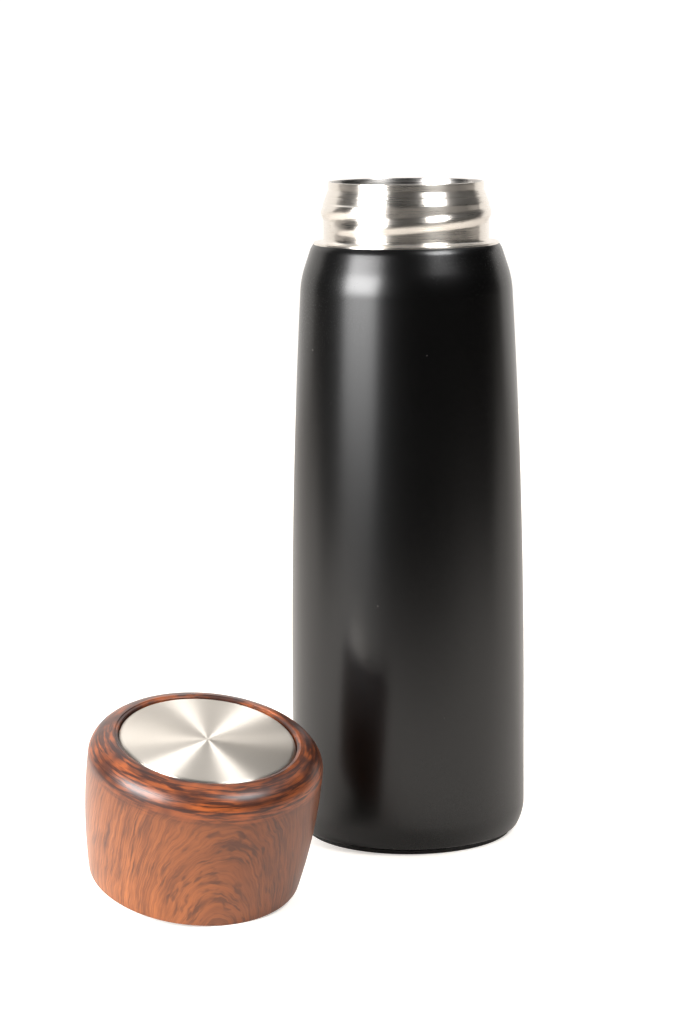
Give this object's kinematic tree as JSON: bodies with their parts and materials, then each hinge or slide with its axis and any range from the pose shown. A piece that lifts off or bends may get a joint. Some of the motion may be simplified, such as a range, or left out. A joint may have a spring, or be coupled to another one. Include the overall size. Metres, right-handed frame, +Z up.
{
  "type": "vacuum flask",
  "caption": "Slim double-wall vacuum flask standing with its threaded steel neck open, and its screw-on insulated lid lying beside it.",
  "frame": {"origin": "on the flask's own axis, at the plane its foot pad stands on", "axes": "+Z up along the flask's axis towards its mouth; -Y towards the viewer, where the lid lies; +X to the viewer's right"},
  "size_m": [0.1246, 0.1465, 0.1955],
  "materials": {
    "black_powder_coat": "satin",
    "neck_steel": "brushed",
    "inner_steel": "satin",
    "plate_steel": "satin",
    "copper_foil": "satin",
    "seal_glass": "gloss",
    "getter_alloy": "matte",
    "foot_silicone": "matte",
    "adhesive": "matte",
    "wood_print": "satin",
    "spun_steel": "brushed",
    "liner_plastic": "satin",
    "insulating_foam": "matte",
    "clear_silicone": "satin"
  },
  "bodies": {
    "flask": {"outer_shell": "black_powder_coat", "neck_sleeve": "neck_steel", "inner_vessel": "inner_steel", "inner_base": "inner_steel", "radiation_foil": "copper_foil", "outer_base": "plate_steel", "vacuum_seal": "seal_glass", "getter_pill": "getter_alloy", "getter_strap": "plate_steel", "base_cover": "plate_steel", "foot_tape": "adhesive", "foot_pad": "foot_silicone"},
    "seal": {"seal_gasket": "clear_silicone"},
    "cap": {"cap_shell": "wood_print", "top_disc": "spun_steel", "disc_pad": "adhesive", "cap_liner": "liner_plastic", "cap_foam": "insulating_foam", "stopper_plug": "liner_plastic", "plug_foam": "insulating_foam"}
  },
  "joints": [
    {"name": "cap_lift", "type": "slide", "parent": "flask", "child": "seal", "axis": [0, 0, 1], "range_m": [0, 0.21]},
    {"name": "cap_turn", "type": "hinge", "parent": "seal", "child": "cap", "pos_m": [-0.06, -0.0716, 0.00772], "axis": [0.1228, -0.2368, 0.9638], "continuous": true}
  ]
}
